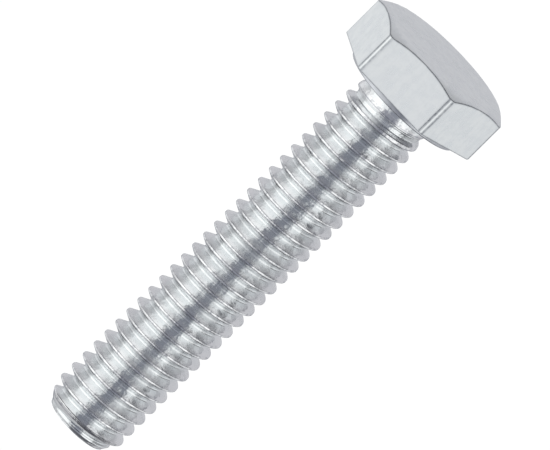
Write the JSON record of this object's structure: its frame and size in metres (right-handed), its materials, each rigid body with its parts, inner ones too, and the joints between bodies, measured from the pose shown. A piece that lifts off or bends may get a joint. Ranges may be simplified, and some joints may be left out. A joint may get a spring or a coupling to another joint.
{
  "type": "hex bolt",
  "caption": "Hex head bolt with a washer face under the head, a right-hand metric thread rolled up to a short neck, and a chamfered point.",
  "frame": {"origin": "centre of the bearing face, in the plane where the washer face under the head meets the clamped part", "axes": "+Z along the bolt's axis towards the top of the head, so the shank points along -Z; two opposite wrench flats face +Y and -Y, and two corners of the hexagon lie on +X and -X"},
  "size_m": [0.011, 0.0098, 0.0335],
  "materials": {
    "zinc_plated_steel": "bright zinc plate, satin, with fine mottling on the head"
  },
  "bodies": {
    "root": {"hex_head": "zinc_plated_steel", "washer_face": "zinc_plated_steel", "neck": "zinc_plated_steel", "threaded_shank": "zinc_plated_steel", "chamfered_point": "zinc_plated_steel"}
  },
  "joints": []
}
